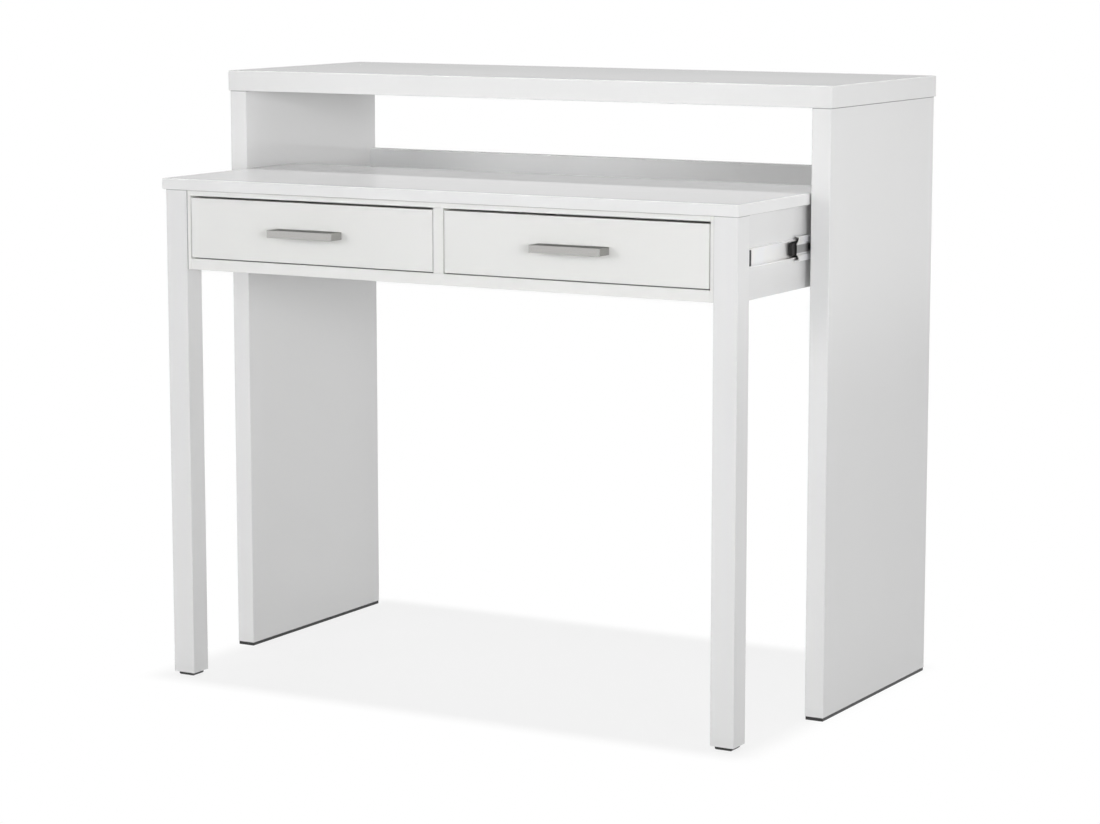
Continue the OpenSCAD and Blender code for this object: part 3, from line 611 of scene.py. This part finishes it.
screw_zinc = rolled_zinc("screw_zinc", shine=0.26, along=(260.0, 260.0, 260.0))
head_radius = 0.0035
shank_core = 0.00135
shank_ridge = 0.00045
shank_pitch = 0.0014
shank_point = 0.004
countersunk = [(head_radius * 0.97, 0.0), (head_radius, 0.0001), (shank_core, 0.0012)]
round_head = [
    (head_radius * 0.7, 0.0), (head_radius * 0.92, 0.0003), (head_radius, 0.0009),
    (head_radius, 0.0018), (head_radius * 0.96, 0.002), (shank_core, 0.002),
]
outer_low, outer_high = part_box("slide_outer_screws")
inner_low, inner_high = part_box("slide_inner_screws")
outer_length = 0.0122
inner_length = 0.0142
outer_places = []
inner_places = []
for side in (-1, 1):
    head_place = side * (outer_high.x - outer_length)
    for along in from_ends(outer_low.y, outer_high.y, head_radius):
        spot = (head_place, along, (outer_low.z + outer_high.z) / 2)
        outer_places.append(standing(spot, (-side, 0, 0)))
    for along in (inner_low.y + head_radius, inner_high.y - head_radius):
        spot = (side * inner_high.x, along, (inner_low.z + inner_high.z) / 2)
        inner_places.append(standing(spot, (side, 0, 0)))
outer_screw = screw(countersunk, shank_core, shank_ridge, shank_pitch, outer_length, shank_point)
outer_screws = place_parts("outer_member_screws", outer_screw, outer_places, screw_zinc)
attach(outer_screws, "console")
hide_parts("slide_outer_screws")
inner_screw = screw(round_head, shank_core, shank_ridge, shank_pitch, inner_length, shank_point)
inner_screws = place_parts("inner_member_screws", inner_screw, inner_places, screw_zinc)
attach(inner_screws, "desk")
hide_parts("slide_inner_screws")


# Balls and plastic cages
# Hardened and polished bearing balls with a trace of grease. The outer rows sit in steel cages, in
# the same zinc as the members, and the inner ones in cages of black plastic.
def polished_steel(name):
    smears_a_metre = 400.0
    finish, start = start_finish(name)
    place = start.node("TexCoord", {}, {}, "Object")
    grease = noise(start, place, smears_a_metre)
    surface = start.node("BsdfPrincipled", {}, {
        "Base Color": grease.tint(grey(0.62), grey(0.72)),
        "Roughness": 0.05 + 0.15 * grease.rise(0.5, 0.8),
        "Metallic": 1.0,
    })
    start.node("OutputMaterial", {}, {"Surface": surface})
    return finish


dress(polished_steel("ball_steel"), "outer_balls", "inner_balls")
cage_plastic = black_plastic("cage_plastic", level=0.03, shine=0.42, grain=0.0006)
dress(cage_plastic, "inner_ball_cages")


# Release levers and bumpers
# Black plastic. The levers are moulded with a bevelled thumb head on a thin springy arm, and the
# bumpers are pegged into the front end of the inner members.
lever_plastic = black_plastic("lever_plastic", level=0.007, shine=0.42, grain=0.0006)
dress(lever_plastic, "release_lever_left", "release_lever_right")
dress(lever_plastic, "slide_bumper_left", "slide_bumper_right")


# Desk
# Desktop, legs and carcass are board in the same white gloss as the console. The legs are a shade
# greyer, and the boards round the drawers a touch warmer.
# Painted shadow hairlines run under the desktop on the legs, carcass and drawer surround, and beside
# the legs on the surround.
shadow_under_desktop = ("Z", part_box("desktop")[0].z)
shadow_beside_legs = ("X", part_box("desk_leg_right")[0].x)
warm_white = (0.785, 0.785, 0.77, 1.0)
warm_shade = (0.775, 0.775, 0.76, 1.0)
desktop_gloss = gloss_lacquer("desktop_gloss", grey(0.79), grey(0.78), shine=0.04)
leg_gloss = gloss_lacquer("leg_gloss", grey(0.76), grey(0.745), 0.07, [shadow_under_desktop])
# The carcass sides and back are a greyer copy of the same white: painted shade.
shaded_side_gloss = gloss_lacquer("shaded_side_gloss", grey(0.74), grey(0.73), 0.08, [shadow_under_desktop])
front_gloss = gloss_lacquer(
    "front_gloss", warm_white, warm_shade, 0.1, [shadow_under_desktop, shadow_beside_legs],
)
dress(desktop_gloss, "desktop")
dress(leg_gloss, "desk_leg_left", "desk_leg_right")
dress(shaded_side_gloss, "carcass_side_left", "carcass_side_right", "carcass_back")
dress(front_gloss, "carcass_liner_left", "carcass_liner_right", "carcass_bottom")
dress(front_gloss, "carcass_divider", "carcass_top_rail")


# Desk dowels
# The same beech pins as in the console. They are glued in, and hold the desktop to the
# legs and the carcass sides.
leg_low, leg_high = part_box("desk_leg_right")
carcass_low, carcass_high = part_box("carcass_side_right")
depth_in_desktop = 0.008
dowel_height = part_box("desktop")[0].z + depth_in_desktop - dowel_length / 2
desk_places = []
for side in (-1, 1):
    leg_spot = (side * (leg_low.x + leg_high.x) / 2, (leg_low.y + leg_high.y) / 2, dowel_height)
    desk_places.append(standing(leg_spot, (0, 0, 1)))
    across = side * (carcass_low.x + carcass_high.x) / 2
    for along in (carcass_low.y + end_inset, carcass_high.y - end_inset):
        desk_places.append(standing((across, along, dowel_height), (0, 0, 1)))
desk_pins = place_parts("desk_pins", dowel, desk_places, dowel_beech)
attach(desk_pins, "desk")
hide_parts("desk_dowels")


# Leg glides
# Black plastic, pressed into the end of each leg. They slide over the floor when the desk is drawn
# out, and keep the legs' board off it.
glide_plastic = black_plastic("glide_plastic", level=0.02, shine=0.3, grain=0.0009)
dress(glide_plastic, "leg_glide_left", "leg_glide_right")


# Drawers
# Fronts in a white lacquer that is a touch warmer and less shiny than the desk. Sides, back and
# bottom are board with a white melamine face, and run on white moulded strips.
def melamine(name, colour, shade):
    """Printed board face with a fine pearled press mark."""
    pearls_a_metre = 1400.0
    pearl_depth = 0.00003
    clouds_a_metre = 6.0
    finish, start = start_finish(name)
    place = start.node("TexCoord", {}, {}, "Object")
    pearl = noise(start, place, pearls_a_metre)
    cloud = noise(start, place, clouds_a_metre)
    surface = start.node("BsdfPrincipled", {}, {
        "Base Color": cloud.rise(0.3, 0.7).tint(shade, colour),
        "Roughness": 0.36 + 0.14 * pearl,
        "Normal": relief(start, pearl, pearl_depth),
    })
    start.node("OutputMaterial", {}, {"Surface": surface})
    return finish


drawer_white = (0.775, 0.775, 0.76, 1.0)
drawer_shade = (0.765, 0.765, 0.75, 1.0)
drawer_gloss = gloss_lacquer("drawer_gloss", drawer_white, drawer_shade, shine=0.14)
dress(drawer_gloss, "drawer_front_left", "drawer_front_right")
drawer_face = melamine("drawer_melamine", grey(0.8), grey(0.785))
for side in ("left", "right"):
    dress(drawer_face, f"drawer_outer_side_{side}", f"drawer_inner_side_{side}")
    dress(drawer_face, f"drawer_back_{side}", f"drawer_bottom_{side}")
runner_plastic = melamine("runner_plastic", grey(0.76), grey(0.75))
dress(runner_plastic, "drawer_runners_left", "drawer_runners_right")


# Pulls
# Shallow hoods of cast zinc, plated in satin nickel and brushed along their length. The plating
# mirrors less at a low angle, so their tops look darker than their fronts.
def satin_nickel(name):
    groove_nickel = (0.48, 0.475, 0.46, 1.0)
    ridge_nickel = (0.53, 0.525, 0.51, 1.0)
    edge_level = 0.18
    strokes_a_metre = (25.0, 1600.0, 1600.0)
    stroke_depth = 0.000005
    finish, start = start_finish(name)
    place = start.node("TexCoord", {}, {}, "Object")
    brushing = noise(start, stretched(start, place, strokes_a_metre), 1.0, detail=4.0)
    surface = start.node("BsdfPrincipled", {}, {
        "Base Color": brushing.tint(groove_nickel, ridge_nickel),
        "Roughness": 0.16 + 0.14 * brushing,
        "Specular Tint": grey(edge_level),
        "Normal": relief(start, brushing, stroke_depth),
        "Metallic": 1.0,
    })
    start.node("OutputMaterial", {}, {"Surface": surface})
    return finish


dress(satin_nickel("pull_nickel"), "handle_left", "handle_right")


# Pull screws
# Zinc-plated machine screws with a round head, driven from inside the drawer through its front and
# into the casting, two to a pull.
pull_head_radius = 0.004
pull_core = 0.00165
pull_ridge = 0.00035
pull_pitch = 0.0007
pull_length = 0.028
pull_point = 0.0008
pull_head = [
    (pull_head_radius * 0.7, 0.0), (pull_head_radius * 0.92, 0.0004), (pull_head_radius, 0.001),
    (pull_head_radius, 0.0018), (pull_head_radius * 0.97, 0.002), (pull_core, 0.002),
]
pull_screw = screw(pull_head, pull_core, pull_ridge, pull_pitch, pull_length, pull_point)
for side in ("left", "right"):
    pull_low, pull_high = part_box(f"handle_screws_{side}")
    pull_places = []
    for across in (pull_low.x + pull_head_radius, pull_high.x - pull_head_radius):
        spot = (across, pull_high.y, (pull_low.z + pull_high.z) / 2)
        pull_places.append(standing(spot, (0, 1, 0)))
    pull_screws = place_parts(f"pull_screws_{side}", pull_screw, pull_places, screw_zinc)
    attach(pull_screws, f"drawer_{side}")
    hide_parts(f"handle_screws_{side}")
